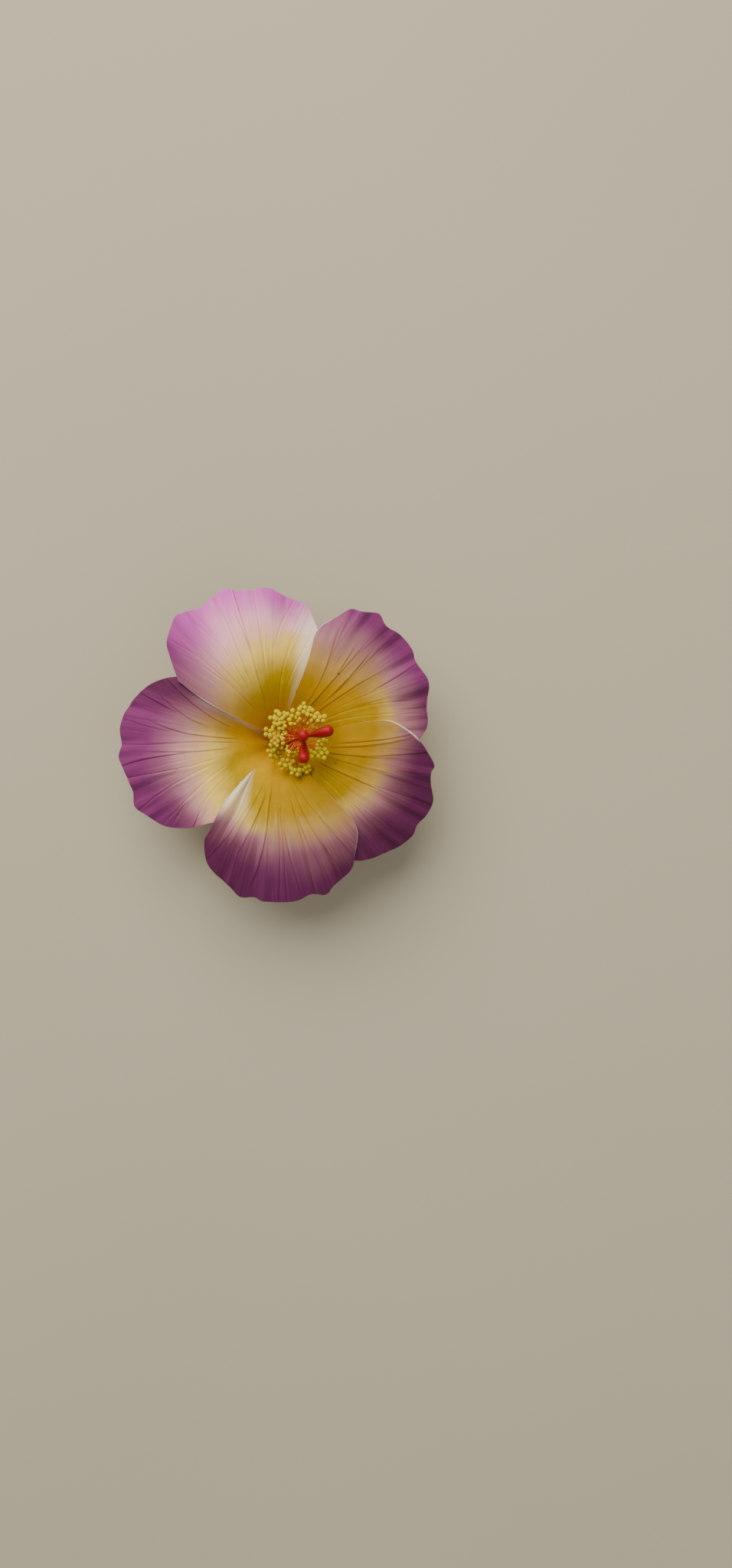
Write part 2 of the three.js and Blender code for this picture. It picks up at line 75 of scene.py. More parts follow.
# side, swell and margin are those of the solids, but the left petal's tip is 0.2 mm
# shorter, because the finer curve stands further out, and the right petal's upper corner
# is rounder. bands: bearing, and the distances from the axis where gold ends and where
# straw, mauve and the rim's dye are purest. dye_depth_and_shade: bearing, and how deep
# the dye lies near the throat and at the rim, which also paints shade where a neighbour
# shades the blade or its limb turns from the light. bare, strips that the dye misses:
# bearing, first and last distance, width at each and bareness at each.
# pale_edge_and_highlight, pale lines along the blade's own edge, partly bare tissue and
# partly painted highlight where the edge catches the light: first and last bearing, first
# and last distance, width and paleness.
PETALS = {
    "petal_left": {
        "side": (-1, -1),
        "swell": (0, 0),
        "margin": [
            (240, 30), (235, 34.5), (231, 37.5), (226, 42.5), (218, 48.7), (211, 51.7),
            (205, 54.6), (199, 53), (190, 54.4), (186, 55.4), (182, 54.1), (175, 54.6),
            (167, 52.8), (159, 49.2), (153, 45.4), (147, 40), (142, 33),
        ],
        "bands": [
            (142, 9, 15, 22, 35), (155, 12, 18, 25, 39), (168, 15, 23, 31, 45),
            (182, 13, 21, 33, 47), (196, 13, 22, 35, 48), (210, 17, 26, 36, 47),
            (224, 19, 29, 36, 47), (240, 23, 31, 38, 50),
        ],
        "dye_depth_and_shade": [
            (142, 1, 1), (155, 1, 1), (168, 0.95, 0.85), (182, 0.45, 0.82), (200, 0.15, 0.85),
            (240, 0, 0.9),
        ],
        "bare": [(149, 6, 32, 0.7, 2.2, 0.7, 0.4), (239, 24, 42, 1.5, 4, 0.3, 0.3)],
        "seed": 3,
    },
    "petal_upper_left": {
        "side": (1, -1),
        "swell": (2.5, 0),
        "margin": [
            (149, 38.5), (146, 41.4), (142, 45.9), (138, 50.6), (130, 55.4), (126, 55.2),
            (120, 53.2), (115, 54.2), (109, 56), (104, 53.7), (98, 53), (93, 53.4),
            (87, 50.6), (81, 48.9), (76, 47.2), (72, 43.6), (66, 38.5), (60, 32),
        ],
        "bands": [
            (60, 23, 33, 39, 48), (82, 24, 33, 39, 49), (95, 21, 32, 42, 54),
            (110, 15, 28, 40, 55), (118, 14, 26, 38, 57), (125, 13, 24, 33, 50),
            (140, 13, 21, 30, 48), (152, 12, 18, 27, 44),
        ],
        "dye_depth_and_shade": [
            (60, 0.3, 0.2), (78, 0.3, 0.1), (88, 0.3, 0.45), (95, 0.3, 0.1), (110, 0.35, 0),
            (118, 0.45, 0), (125, 0.55, 0.35), (140, 0.8, 0.8), (152, 0.9, 0.95),
        ],
        "bare": [(67.5, 12, 50, 0.9, 8, 0.25, 0.8)],
        "pale_edge_and_highlight": [(136, 156, 6, 29, 0.7, 0.6)],
        "seed": 11,
    },
    "petal_upper_right": {
        "side": (1, -1),
        "swell": (-2.5, 0),
        "margin": [
            (69, 39.5), (67, 43.6), (63, 48), (60, 52.6), (56, 53.9), (51, 57.2),
            (46, 55.5), (40, 57.1), (34, 57.3), (29, 56.2), (21, 57.2), (13, 54.1),
            (6, 53.3), (1, 50.5), (-4, 46), (-8, 40), (-10, 33),
        ],
        "bands": [
            (-10, 33, 41, 46, 55), (8, 34, 41, 46, 55), (18, 35, 41, 45, 54),
            (30, 31, 38, 45, 56), (45, 27, 34, 42, 54), (60, 23, 31, 40, 54),
            (69, 22, 30, 39, 52),
        ],
        "dye_depth_and_shade": [
            (-10, 0.8, 0.85), (15, 0.65, 0.95), (30, 1, 0.8), (45, 1, 0.95), (60, 1, 0.78),
            (69, 0.9, 0.7),
        ],
        "pale_edge_and_highlight": [(64, 80, 8, 46, 0.5, 0.85)],
        "seed": 5,
    },
    "petal_right": {
        "side": (1, -1),
        "swell": (0.8, 0),
        "margin": [
            (10.6, 34.5), (10.2, 38), (8.9, 41), (6.4, 44), (1, 49.2), (-4, 52.8),
            (-9, 56.1), (-12, 55.4), (-16, 56.4), (-21, 59), (-26, 59), (-31, 57.7),
            (-35, 58.3), (-41, 56.9), (-47, 54.5), (-52, 52.8), (-57, 50), (-62, 45),
            (-66, 37),
        ],
        "bands": [
            (-66, 25, 32, 37, 47), (-55, 26, 33, 38, 48), (-40, 30, 35, 40, 51),
            (-25, 30, 36, 42, 53), (-10, 33, 38, 42, 50), (2, 34, 41, 45, 53),
            (10, 34, 41, 46, 54),
        ],
        "dye_depth_and_shade": [(-66, 0.75, 1), (-40, 0.6, 1), (-25, 0.75, 1), (-10, 1, 1), (10, 0.9, 0.95)],
        "pale_edge_and_highlight": [(0, 20, 15, 52, 0.8, 0.85)],
        "seed": 23,
    },
    "petal_bottom": {
        "side": (1, 1),
        "swell": (0, 3),
        "margin": [
            (315, 37), (312, 42.8), (305, 48.4), (300, 52.4), (292, 54.6), (288, 56.7),
            (283, 55.3), (276, 56.9), (266, 56.5), (262, 55.5), (257, 56.2), (252, 53.2),
            (245, 50.7), (240, 48), (235, 42.4), (235, 39),
        ],
        "bands": [
            (233, 18, 25, 32, 44), (245, 22, 29, 34, 45), (258, 25, 30, 34, 45),
            (272, 24, 30, 37, 51), (286, 26, 31, 39, 53), (300, 27, 33, 40, 52),
            (315, 28, 35, 41, 52),
        ],
        "dye_depth_and_shade": [
            (233, 0.1, 1), (245, 0.3, 1), (258, 0.6, 0.95), (272, 0.8, 0.9), (300, 0.8, 1),
            (315, 0.9, 1),
        ],
        "pale_edge_and_highlight": [(304, 320, 25, 46, 0.4, 0.35), (224, 240, 8, 26, 0.6, 0.6)],
        "seed": 31,
    },
}

# -------- small helpers


def passed(x, low, high):
    """How far x has come from low to high, between 0 and 1."""
    return np.clip((x - low) / (high - low), 0, 1)


def smooth(x, low, high):
    """The same, with a soft start and end."""
    t = passed(x, low, high)
    return t * t * (3 - 2 * t)


def window(x, rise, fall):
    """1 between rise and fall, the stretches of x that lead up from 0 and back to it."""
    return smooth(x, *rise) * (1 - smooth(x, *fall))


def hump(x, width):
    """1 where x is 0, dying away to both sides."""
    return np.exp(-((x / width) ** 2))


def lerp(a, b, t):
    return a + (b - a) * t


def flat(bearing, radius):
    """x and y at a bearing and a distance from the axis."""
    angle = np.radians(bearing)
    return radius * np.cos(angle), radius * np.sin(angle)


def polar(bearing, radius, height=0.0):
    return np.array([*flat(bearing, radius), height])


def lookup(rows, column, x):
    """A column of rows, read where their first column comes to x."""
    return np.interp(x, [row[0] for row in rows], [row[column] for row in rows])


def seeded(seed):
    """The same row of chances between 0 and 1 each time."""
    state = seed

    def draw():
        nonlocal state
        state = (state * 1664525 + 1013904223) & 0xFFFFFFFF
        return state / 2**32

    return draw


def measured(curve, steps, shares):
    """Points at these shares of the length of a curve, which is measured at steps."""
    lengths = np.linalg.norm(np.diff(curve(steps), axis=0), axis=1)
    length = np.concatenate([[0], np.cumsum(lengths)])
    return curve(np.interp(np.asarray(shares) * length[-1], length, steps))


def catmull_rom(points, shares):
    """Points at these shares of the length of a smooth curve through points."""
    points = np.asarray(points, float)
    last = len(points) - 1

    def curve(t):
        i = np.minimum(t.astype(int), last - 1)
        w = (t - i)[:, None]
        p0, p1 = points[np.maximum(i - 1, 0)], points[i]
        p2, p3 = points[i + 1], points[np.minimum(i + 2, last)]
        v0, v1 = (p2 - p0) / 2, (p3 - p1) / 2
        cubic = (2 * p1 - 2 * p2 + v0 + v1) * w**3
        return cubic + (-3 * p1 + 3 * p2 - 2 * v0 - v1) * w**2 + v0 * w + p1

    return measured(curve, np.linspace(0, last, 60 * last + 1), shares)


def bezier(controls, shares):
    """Points at these shares of the length of a quadratic curve."""
    a, b, c = (np.asarray(p, float) for p in controls)

    def curve(t):
        t = t[:, None]
        return (1 - t) ** 2 * a + 2 * t * (1 - t) * b + t**2 * c

    return measured(curve, np.linspace(0, 1, 201), shares)


def add_object(name, data):
    made = bpy.data.objects.new(name, data)
    bpy.context.scene.collection.objects.link(made)
    return made


def make_object(name, points, faces, material, replaced, fields):
    """A smooth mesh in metres, with fields at its points, that rides on the flower's body."""
    mesh = bpy.data.meshes.new(name)
    placed = (np.asarray(points) + AXIS) * MM
    mesh.from_pydata(placed.tolist(), [], [list(f) for f in faces])
    mesh.update()
    mesh.shade_smooth()
    for field, values in fields.items():
        attribute = mesh.attributes.new(field, "FLOAT", "POINT")
        attribute.data.foreach_set("value", np.asarray(values, np.float32))
    mesh.materials.append(material)
    piece = add_object(name, mesh)
    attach(piece, "root")
    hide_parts(*replaced)


def closed_faces(rings, sides):
    """Faces of a body whose points are an end, rings of sides points and an end."""
    faces = []
    end = 1 + rings * sides
    for k in range(sides):
        n = (k + 1) % sides
        faces.append((0, 1 + n, 1 + k))
        for a in range(1, end - sides, sides):
            faces.append((a + k, a + n, a + sides + n, a + sides + k))
        faces.append((end, end - sides + k, end - sides + n))
    return faces


def tube(centres, radii, sides):
    """Points and faces of a closed round body along a line of centres."""
    centres = np.asarray(centres, float)
    tangents = np.gradient(centres, axis=0)
    tangents /= np.linalg.norm(tangents, axis=1)[:, None]
    across = np.cross(tangents[0], [0.31, 0.87, 0.38])  # any way that no centre line runs
    points = [centres[0]]
    for centre, tangent, radius in zip(centres, tangents, radii):
        across = across - tangent * np.dot(across, tangent)
        across /= np.linalg.norm(across)
        other = np.cross(tangent, across)
        for k in range(sides):
            angle = TAU * k / sides
            points.append(centre + radius * (math.cos(angle) * across + math.sin(angle) * other))
    points.append(centres[-1])
    return np.array(points), closed_faces(len(centres), sides)


class Heap:
    """Many small closed bodies, with fields at their points, for one mesh."""

    def __init__(self, *fields):
        self.points, self.faces = [], []
        self.fields = {field: [] for field in fields}

    def add(self, points, faces, **values):
        start = sum(len(p) for p in self.points)
        self.points.append(points)
        self.faces.extend(tuple(start + i for i in face) for face in faces)
        for field, value in values.items():
            self.fields[field].append(np.broadcast_to(value, len(points)))

    def build(self, name, material, slot, replaced):
        fields = {field: np.concatenate(values) for field, values in self.fields.items()}
        points = np.concatenate(self.points)
        make_object(name, points, self.faces, material, replaced, fields)


# -------- materials


class Finish:
    """A material with the Principled shader, and short ways to make its nodes."""

    def __init__(self, name):
        self.material = bpy.data.materials.new(name)
        self.material.use_nodes = True
        self.tree = self.material.node_tree
        self.where = self.node("ShaderNodeTexCoord").outputs["Object"]

    def plug(self, value, socket):
        """Link a node's output to a socket, or set the socket to a plain value."""
        if isinstance(value, bpy.types.NodeSocket):
            self.tree.links.new(value, socket)
        else:
            socket.default_value = value

    def node(self, kind, values=None, **settings):
        made = self.tree.nodes.new(kind)
        for key, value in settings.items():
            setattr(made, key, value)
        for key, value in (values or {}).items():
            self.plug(value, made.inputs[key])
        return made

    def field(self, name):
        return self.node("ShaderNodeAttribute", attribute_name=name).outputs["Fac"]

    def mix(self, factor, a, b, blend="MIX"):
        """Colour a where factor is 0, and b, blended with a, where it is 1."""
        made = self.node("ShaderNodeMix", data_type="RGBA", blend_type=blend)
        for index, value in ((0, factor), (6, a), (7, b)):  # its sockets for colours
            self.plug(value, made.inputs[index])
        return made.outputs[2]

    def maths(self, operation, a, b, clamp=False):
        return self.node("ShaderNodeMath", {0: a, 1: b}, operation=operation, use_clamp=clamp).outputs[0]

    def times(self, a, b):
        return self.maths("MULTIPLY", a, b)

    def around(self, value, size):
        """Spread a value between 0 and 1 over -size / 2 to size / 2."""
        return self.times(self.maths("SUBTRACT", value, 0.5), size)

    def noise(self, scale, detail, roughness):
        values = {"Scale": scale, "Detail": detail, "Roughness": roughness, "Vector": self.where}
        return self.node("ShaderNodeTexNoise", values).outputs["Fac"]

    def ramp(self, factor, first, between, last):
        """Colours along factor: between lists (place, colour) of those inside."""
        made = self.node("ShaderNodeValToRGB", {"Fac": factor})
        stops = made.color_ramp.elements
        stops[0].color, stops[1].color = first, last
        for place, colour in between:
            stops.new(place).color = colour
        return made.outputs["Color"]

    def bump(self, strength, distance, height):
        values = {"Strength": strength, "Distance": distance, "Height": height}
        return self.node("ShaderNodeBump", values).outputs["Normal"]

    def dress(self, values):
        """Set or link the shader's own inputs, and give back the material."""
        shader = self.tree.nodes["Principled BSDF"]
        for name, value in values.items():
            self.plug(value, shader.inputs[name])
        return self.material


# gold, straw, mauve and the rim's dye, where the dye lies thin and where it lies deep; the deep row also
# stands for painted shade
THIN_DYE = [
    (0.44, 0.30, 0.0, 1), (0.95, 0.68, 0.13, 1), (0.95, 0.48, 0.54, 1), (0.68, 0.115, 0.54, 1)]
DEEP_DYE_AND_SHADE = [
    (0.37, 0.195, 0.0, 1), (0.38, 0.22, 0.055, 1), (0.25, 0.105, 0.115, 1),
    (0.105, 0.018, 0.064, 1)]
AMBER = (0.70, 0.37, 0.0, 1)
# pale tissue where the dye misses, also used as painted highlight along lit edges
BARE_AND_HIGHLIGHT = (0.86, 0.76, 0.62, 1)
BACK = (0.62, 0.46, 0.44, 1)
# painted shade in the vein grooves, with a brown tint
GROOVE_SHADE = (0.42, 0.26, 0.16, 1)
# painted highlight on the rises beside the veins
RIDGE_HIGHLIGHT_TINT = (1.7, 1.6, 1.5, 1)
SPECK = (0.09, 0.03, 0.03, 1)


def petal_finish():
    """Tissue dyed gold, straw, mauve and plum, darker in places as painted shade, with dark veins:
    painted shade, with a little tint, in their grooves and a painted highlight beside them.
    """
    make = Finish("petal")
    mottle = make.noise(420, 4, 0.6)
    speckle = make.noise(2600, 2, 0.5)
    drift = make.maths("ADD", make.around(mottle, 0.10), make.around(speckle, 0.05))
    band = make.maths("ADD", make.field("band"), drift, clamp=True)
    thin, deep = (
        make.ramp(band, dyes[0], [(1 / 3, dyes[1]), (2 / 3, dyes[2])], dyes[3])
        for dyes in (THIN_DYE, DEEP_DYE_AND_SHADE))
    # the deep row where the dye lies deep and where shade is painted on the blade
    colour = make.mix(make.field("dye_depth_and_shade"), thin, deep)
    colour = make.mix(make.field("depth"), colour, AMBER)
    # pale where dye is missing, and painted highlight along edges that catch the light
    colour = make.mix(make.field("bare"), colour, BARE_AND_HIGHLIGHT)
    colour = make.mix(make.times(make.field("back"), 0.55), colour, BACK)
    dust = make.maths("ADD", make.around(mottle, 0.22), 1.0)
    dusted = make.node("ShaderNodeCombineColor", {0: dust, 1: dust, 2: dust}).outputs[0]
    colour = make.mix(1.0, colour, dusted, "MULTIPLY")
    # painted highlight beside the veins
    colour = make.mix(make.times(make.field("ridge"), 0.2), colour, RIDGE_HIGHLIGHT_TINT, "MULTIPLY")
    # painted shade in the vein grooves
    colour = make.mix(make.times(make.field("vein"), 0.7), colour, GROOVE_SHADE, "MULTIPLY")
    colour = make.mix(make.field("speck"), colour, SPECK)
    fibres = make.times(make.field("fibre"), 0.45)
    height = make.maths("ADD", fibres, make.noise(1500, 3, 0.6))
    return make.dress({
        "Base Color": colour,
        "Roughness": make.maths("ADD", make.times(mottle, 0.16), 0.5),
        "Subsurface Weight": 0.12,
        "Subsurface Radius": (1.0, 0.5, 0.35),
        "Subsurface Scale": 0.0012,
        "Specular IOR Level": 0.07,
        "Normal": make.bump(0.28, 0.00012, height),
    })


LEMON = (0.62, 0.54, 0.0, 1)
PEACH = (0.76, 0.28, 0.05, 1)
OCHRE = (0.50, 0.36, 0.0, 1)


def bead_finish():
    """Pollen beads: lemon yellow, peach where warm, with ochre patches."""
    make = Finish("anther")
    colour = make.mix(make.field("warm"), LEMON, PEACH)
    colour = make.mix(make.times(make.noise(900, 2, 0.5), 0.35), colour, OCHRE)
    return make.dress({
        "Base Color": colour,
        "Roughness": 0.58,
        "Specular IOR Level": 0.06,
        "Subsurface Weight": 0.1,
        "Subsurface Scale": 0.0006,
        "Normal": make.bump(0.35, 0.00008, make.noise(6500, 2, 0.5)),
    })


ROOT_RED = (0.30, 0.004, 0.004, 1)
STREAK_RED = (0.34, 0.01, 0.01, 1)
ORANGE = (0.66, 0.07, 0.012, 1)
TIP_ORANGE = (0.80, 0.36, 0.04, 1)


def filament_finish():
    """Red at the column, orange further out and pale at the bead."""
    make = Finish("filament")
    red_streaks = make.noise(1200, 3, 0.6)
    colour = make.ramp(make.field("along"), ROOT_RED, [(0.45, ORANGE)], TIP_ORANGE)
    colour = make.mix(make.times(red_streaks, 0.3), colour, STREAK_RED)
    return make.dress({
        "Base Color": colour,
        "Roughness": 0.55,
        "Specular IOR Level": 0.3,
        "Normal": make.bump(0.4, 0.0001, red_streaks),
    })


NECK_RED = (0.18, 0.001, 0.001, 1)
CLUB_RED = (0.37, 0.001, 0.002, 1)
PILE_RED = (0.22, 0.001, 0.003, 1)


def stigma_finish():
    """Velvety red, darker towards the neck."""
    make = Finish("stigma")
    pile = make.noise(3800, 3, 0.6)
    colour = make.mix(make.field("along"), NECK_RED, CLUB_RED)
    colour = make.mix(make.times(pile, 0.35), colour, PILE_RED)
    return make.dress({
        "Base Color": colour,
        "Roughness": 0.46,
        "Specular IOR Level": 0.3,
        "Normal": make.bump(0.3, 0.00008, pile),
    })


VEIN_GREEN = (0.42, 0.50, 0.20, 1)
CUT_GREEN = (0.50, 0.47, 0.26, 1)


def green_finish(name, light, dark):
    """Leafy green, pale along the veins and on the cut face."""
    make = Finish(name)
    colour = make.mix(make.noise(260, 4, 0.6), dark, light)
    colour = make.mix(make.field("vein"), colour, VEIN_GREEN)
    colour = make.mix(make.field("cut"), colour, CUT_GREEN)
    return make.dress({
        "Base Color": colour,
        "Roughness": 0.6,
        "Sheen Weight": 0.2,
        "Normal": make.bump(0.4, 0.00012, make.noise(1800, 3, 0.6)),
    })


FLOOR_LIGHT = (0.47, 0.43, 0.315, 1)
FLOOR_DARK = (0.44, 0.40, 0.285, 1)


def floor_finish():
    """Pale plaster with slow, faint changes of shade."""
    make = Finish("floor")
    colour = make.mix(make.noise(6, 2, 0.4), FLOOR_DARK, FLOOR_LIGHT)
    return make.dress({"Base Color": colour, "Roughness": 0.8})


# -------- petals

COLUMNS = 410
ROWS = 110
EDGE_STEPS = np.array([0, 0.0006, 0.0016, 0.0034, 0.006])  # close rows next to each edge
FIRST_STEP = 0.008  # the even rows start here


def grid_shares(count):
    inner = np.linspace(0, 1, count)
    inner = inner[(inner > FIRST_STEP) & (inner < 1 - FIRST_STEP)]
    return np.concatenate([EDGE_STEPS, inner, 1 - EDGE_STEPS[::-1]])


def corolla_height(radius):
    rest = 1 - passed(radius, CLAW_RADIUS, CREST_RADIUS)
    funnel = lerp(CLAW_HEIGHT, CREST_HEIGHT, 1 - rest**FUNNEL_POWER)
    limb = CREST_HEIGHT - RIM_DROP * ((radius - CREST_RADIUS) / (RIM_RADIUS - CREST_RADIUS)) ** 2
    return np.where(radius < CREST_RADIUS, funnel, limb)


def funnel_slope(radius):
    rest = 1 - passed(radius, CLAW_RADIUS, CREST_RADIUS)
    rise = (CREST_HEIGHT - CLAW_HEIGHT) / (CREST_RADIUS - CLAW_RADIUS)
    return np.arctan(rise * FUNNEL_POWER * rest ** (FUNNEL_POWER - 1))


def rim_wave(angle, radius):
    growth = smooth(radius, RIM_WAVE_START, RIM_RADIUS) ** RIM_WAVE_POWER
    wave, frill = (
        sum(height * np.sin(turns * angle + phase) for height, turns, phase in waves)
        for waves in (RIM_WAVES, RIM_FRILLS))
    return growth * wave + growth**3 * frill


VEIN_ENDS = 15  # veins that reach the outer part of a petal
VEIN_SPAN = 0.94  # how near they come to its sides, as a share of half its spread
VEIN_DEPTH = 0.36
VEIN_WIDTH = 0.23  # half the width of the dark line
VEIN_SHOULDER = 1.3  # how far the rise beside a line runs
VEIN_GATHER = 0.5  # the share of that span which they keep to at the throat
# shares of a petal's length: where a vein starts, forks and ends, comes and goes
VEIN_STARTS = (0.08, 0.36)
VEIN_FORKS = (0.3, 0.6)
VEIN_STOPS = (0.75, 1.2)
VEIN_COMES = 0.16
VEIN_GOES = 0.2
FAINTEST_VEIN = 0.3  # of the full depth
VEIN_SWAY = 0.028
BRANCH_SWAY = 0.006
FORKED_SHARE = 0.6
SAME_FLANK_SHARE = 0.7  # of the forks, so many have both rises on one side
FINE_VEINS = 26
FINE_VEIN_SPAN = 0.96
FINE_VEIN_DEPTH = 0.1
FINE_VEIN_WIDTH = 0.22
FINE_VEIN_SWAY = 0.01


def veins(turn, radius, half_width, seed):
    """Relief of the veins, the darkness of their grooves, which is painted shade with a little tint, and
    the paleness of the rises beside them, which is painted highlight.
    """
    chance = seeded(seed)
    across = math.radians(half_width) * radius
    out = passed(radius, CLAW_RADIUS, RIM_RADIUS)
    spread = VEIN_GATHER + (1 - VEIN_GATHER) * out
    relief, shade, ridge = (np.zeros_like(radius) for _ in range(3))

    def crease(path, depth, width, start, end, flank):
        """One vein along path, with its rise on the side that flank gives."""
        nonlocal relief, shade, ridge
        off = flank * (turn - path) * across
        strength = window(out, (start, start + VEIN_COMES), (end - VEIN_GOES, end))
        groove = hump(off, width)
        rise = (0.5 + 0.5 * np.tanh(off / width - 0.6)) * hump(off, VEIN_SHOULDER)
        dip = hump(off, 2.2 * VEIN_SHOULDER)
        relief = relief + depth * strength * (1.1 * rise - 0.8 * groove - 0.35 * dip)
        # crest: a painted highlight on the rise beside the line
        crest = hump(off - 2.6 * width, 1.5 * width)
        # groove: painted shade along the line, with a little tint
        shade = np.maximum(shade, groove * strength * depth / VEIN_DEPTH)
        ridge = np.maximum(ridge, crest * strength * depth / VEIN_DEPTH)

    def spot(k, count, span, jitter):
        """Where vein k of count lies, shifted a little by chance."""
        return -span + 2 * span * (k + 0.5 + jitter * (chance() - 0.5)) / count

    def wander(size):
        waves, phase = lerp(2.5, 6, chance()), TAU * chance()
        return size * np.sin(waves * out + phase)

    ends = [spot(k, VEIN_ENDS, VEIN_SPAN, 0.6) for k in range(VEIN_ENDS)]
    while ends:
        pair = ends[:2] if chance() < FORKED_SHARE else ends[:1]
        ends = ends[len(pair):]
        trunk = sum(pair) / len(pair)
        fork = lerp(*VEIN_FORKS, chance())
        start = lerp(*VEIN_STARTS, chance())
        sway = wander(VEIN_SWAY)
        flank = 1 if trunk > 0 else -1
        for branch, end in enumerate(pair):
            bend = passed(out, fork, 1) ** 0.85
            path = lerp(trunk, end, bend) * spread + sway + wander(BRANCH_SWAY) * bend
            depth = VEIN_DEPTH * lerp(FAINTEST_VEIN, 1, chance())
            first = start if branch == 0 else fork + 0.03
            crease(path, depth, VEIN_WIDTH, first, lerp(*VEIN_STOPS, chance()), flank)
            flank = flank if chance() < SAME_FLANK_SHARE else -flank
    for k in range(FINE_VEINS):
        end = spot(k, FINE_VEINS, FINE_VEIN_SPAN, 0.8)
        start = lerp(0.3, 0.75, chance())
        depth = FINE_VEIN_DEPTH * lerp(FAINTEST_VEIN, 1, chance())
        path = end * spread + wander(FINE_VEIN_SWAY)
        crease(path, depth, FINE_VEIN_WIDTH, start, start + lerp(0.2, 0.45, chance()), 1)
    return relief, shade, ridge


UNDULATIONS = 7
SHORTEST_UNDULATION = 9
UNDULATION_STEP = 3  # each is so much longer than the one before
STREAKS = 9
WIDEST_STREAK = 0.11  # in streaks per degree
STREAK_STEP = 0.09  # each is so much finer than the one before
STREAK_DRIFT = 0.05


def undulation(bearing, radius, seed):
    """A slow, uneven swell of the blade, between -1 and 1."""
    chance = seeded(seed + 100)
    x, y = flat(bearing, radius)
    total = np.zeros_like(x)
    for k in range(UNDULATIONS):
        wavelength = SHORTEST_UNDULATION + UNDULATION_STEP * k
        direction = TAU * chance()
        phase = TAU * chance()
        along = x * math.cos(direction) + y * math.sin(direction)
        total = total + np.sin(TAU * along / wavelength + phase) / UNDULATIONS
    return total


def streaks(bearing, radius, seed):
    """Radial streaks, mostly between -1 and 1, which the colours follow."""
    chance = seeded(seed + 200)
    total = np.zeros_like(bearing)
    for k in range(STREAKS):
        per_degree = WIDEST_STREAK + STREAK_STEP * k
        drift = STREAK_DRIFT * (chance() - 0.5)
        total = total + np.sin(TAU * per_degree * bearing + drift * radius * TAU + TAU * chance())
    return total / (STREAKS / 2)


FLAP_CREASE = [(13.5, 235.5), (20, 240.5), (27, 243.5), (34, 243)]  # radius, bearing of the fold
FLAP_EDGE_BEARING = 233
FLAP_STARTS = (12, 17)
FLAP_ENDS = (27, 40)
FLAP_RISE = 0.5  # millimetres up per millimetre across
FOLD_HEIGHT = 0.2
FOLD_WIDTH = 0.4


def flap(bearing, radius):
    """How far across the bottom petal's fold, how fully it is folded and how far it rises."""
    fold = lookup(FLAP_CREASE, 1, radius)
    fade = window(radius, FLAP_STARTS, FLAP_ENDS)
    width = np.clip(fold - FLAP_EDGE_BEARING, 0.3, None)
    share = np.clip((fold - bearing) / width, -1, 1.4)
    wide = np.radians(width) * radius
    crest = FOLD_HEIGHT * hump(share * wide, FOLD_WIDTH)
    rise = FLAP_RISE * wide * smooth(share, 0.05, 0.8) + crest
    return share, fade, rise * fade


def edge_distance(points):
    """Distance of each grid point from the blade's nearest edge, along the grid."""
    from_left, from_foot = (
        np.cumsum(np.linalg.norm(np.diff(points, axis=k, prepend=points.take([0], k)), axis=2), k)
        for k in (0, 1))
    from_right, from_rim = from_left[-1] - from_left, from_foot[:, -1:] - from_foot
    return np.minimum.reduce([from_left, from_right, from_foot, from_rim])


UNDULATION_HEIGHT = 0.22
UNDULATION_STARTS = (8, 20)
UNDER_STARTS = (0.72, 0.95)  # a side that lies under its neighbour is smoother from here on
UNDER_SMOOTHNESS = 0.85
OVER_DIP = 0.14  # a side that lies over its neighbour dips no lower than this
FLAP_SMOOTHNESS = 0.8


def petal_surface(shape):
    """The middle surface of a petal on its grid, and what the colours need to know."""
    left, right = shape["margin"][0][0], shape["margin"][-1][0]
    midrib, half_width = (left + right) / 2, (left - right) / 2
    plane = [flat(bearing - midrib, reach) for bearing, reach in shape["margin"]]
    shares_u, shares_v = grid_shares(COLUMNS), grid_shares(ROWS)
    rim = catmull_rom(plane, shares_u)
    turn = np.degrees(np.arctan2(rim[:, 1], rim[:, 0]))[:, None] / half_width
    reach = np.hypot(rim[:, 0], rim[:, 1])[:, None]
    radius = lerp(CLAW_RADIUS, reach, shares_v[None, :])
    turn = turn + 0 * radius
    pinch = 1 - CLAW_PINCH * np.exp((CLAW_RADIUS - radius) / PINCH_LENGTH)
    swelling = np.sin(math.pi * passed(radius, SWELL_START, SWELL_END))
    swell = np.where(turn > 0, *shape["swell"]) * swelling * turn * np.abs(turn)
    bearing = midrib + half_width * turn * pinch + swell
    offset = (bearing - midrib) / half_width
    side = np.where(offset > 0, *shape["side"])
    hold = smooth(np.abs(offset), 0, OVERLAP_SHARE)
    level = side * OVERLAP_LIFT * hold
    relief, shade, ridge = veins(turn, radius, half_width, shape["seed"])
    swells = undulation(bearing, radius, shape["seed"]) * smooth(radius, *UNDULATION_STARTS)
    relief = relief + UNDULATION_HEIGHT * swells
    under = np.where(side < 0, smooth(np.abs(offset), *UNDER_STARTS), 0)
    relief = relief * (1 - UNDER_SMOOTHNESS * under)
    relief = np.where(side > 0, np.maximum(relief, lerp(relief, -OVER_DIP, hold)), relief)
    folded = np.full_like(radius, -1), np.zeros_like(radius)
    if shape is PETALS["petal_bottom"]:
        share, fade, rise = flap(bearing, radius)
        relief = relief * (1 - FLAP_SMOOTHNESS * np.clip(share, 0, 1) * fade) + rise
        folded = share, fade
    slope = funnel_slope(radius)
    height = corolla_height(radius) + rim_wave(np.radians(bearing), radius)
    out = radius - (level + relief) * np.sin(slope)
    lifted = height + (level + relief) * np.cos(slope)
    points = np.stack([*flat(bearing, out), lifted], axis=2)
    return points, bearing, radius, reach, folded, (shade, ridge)


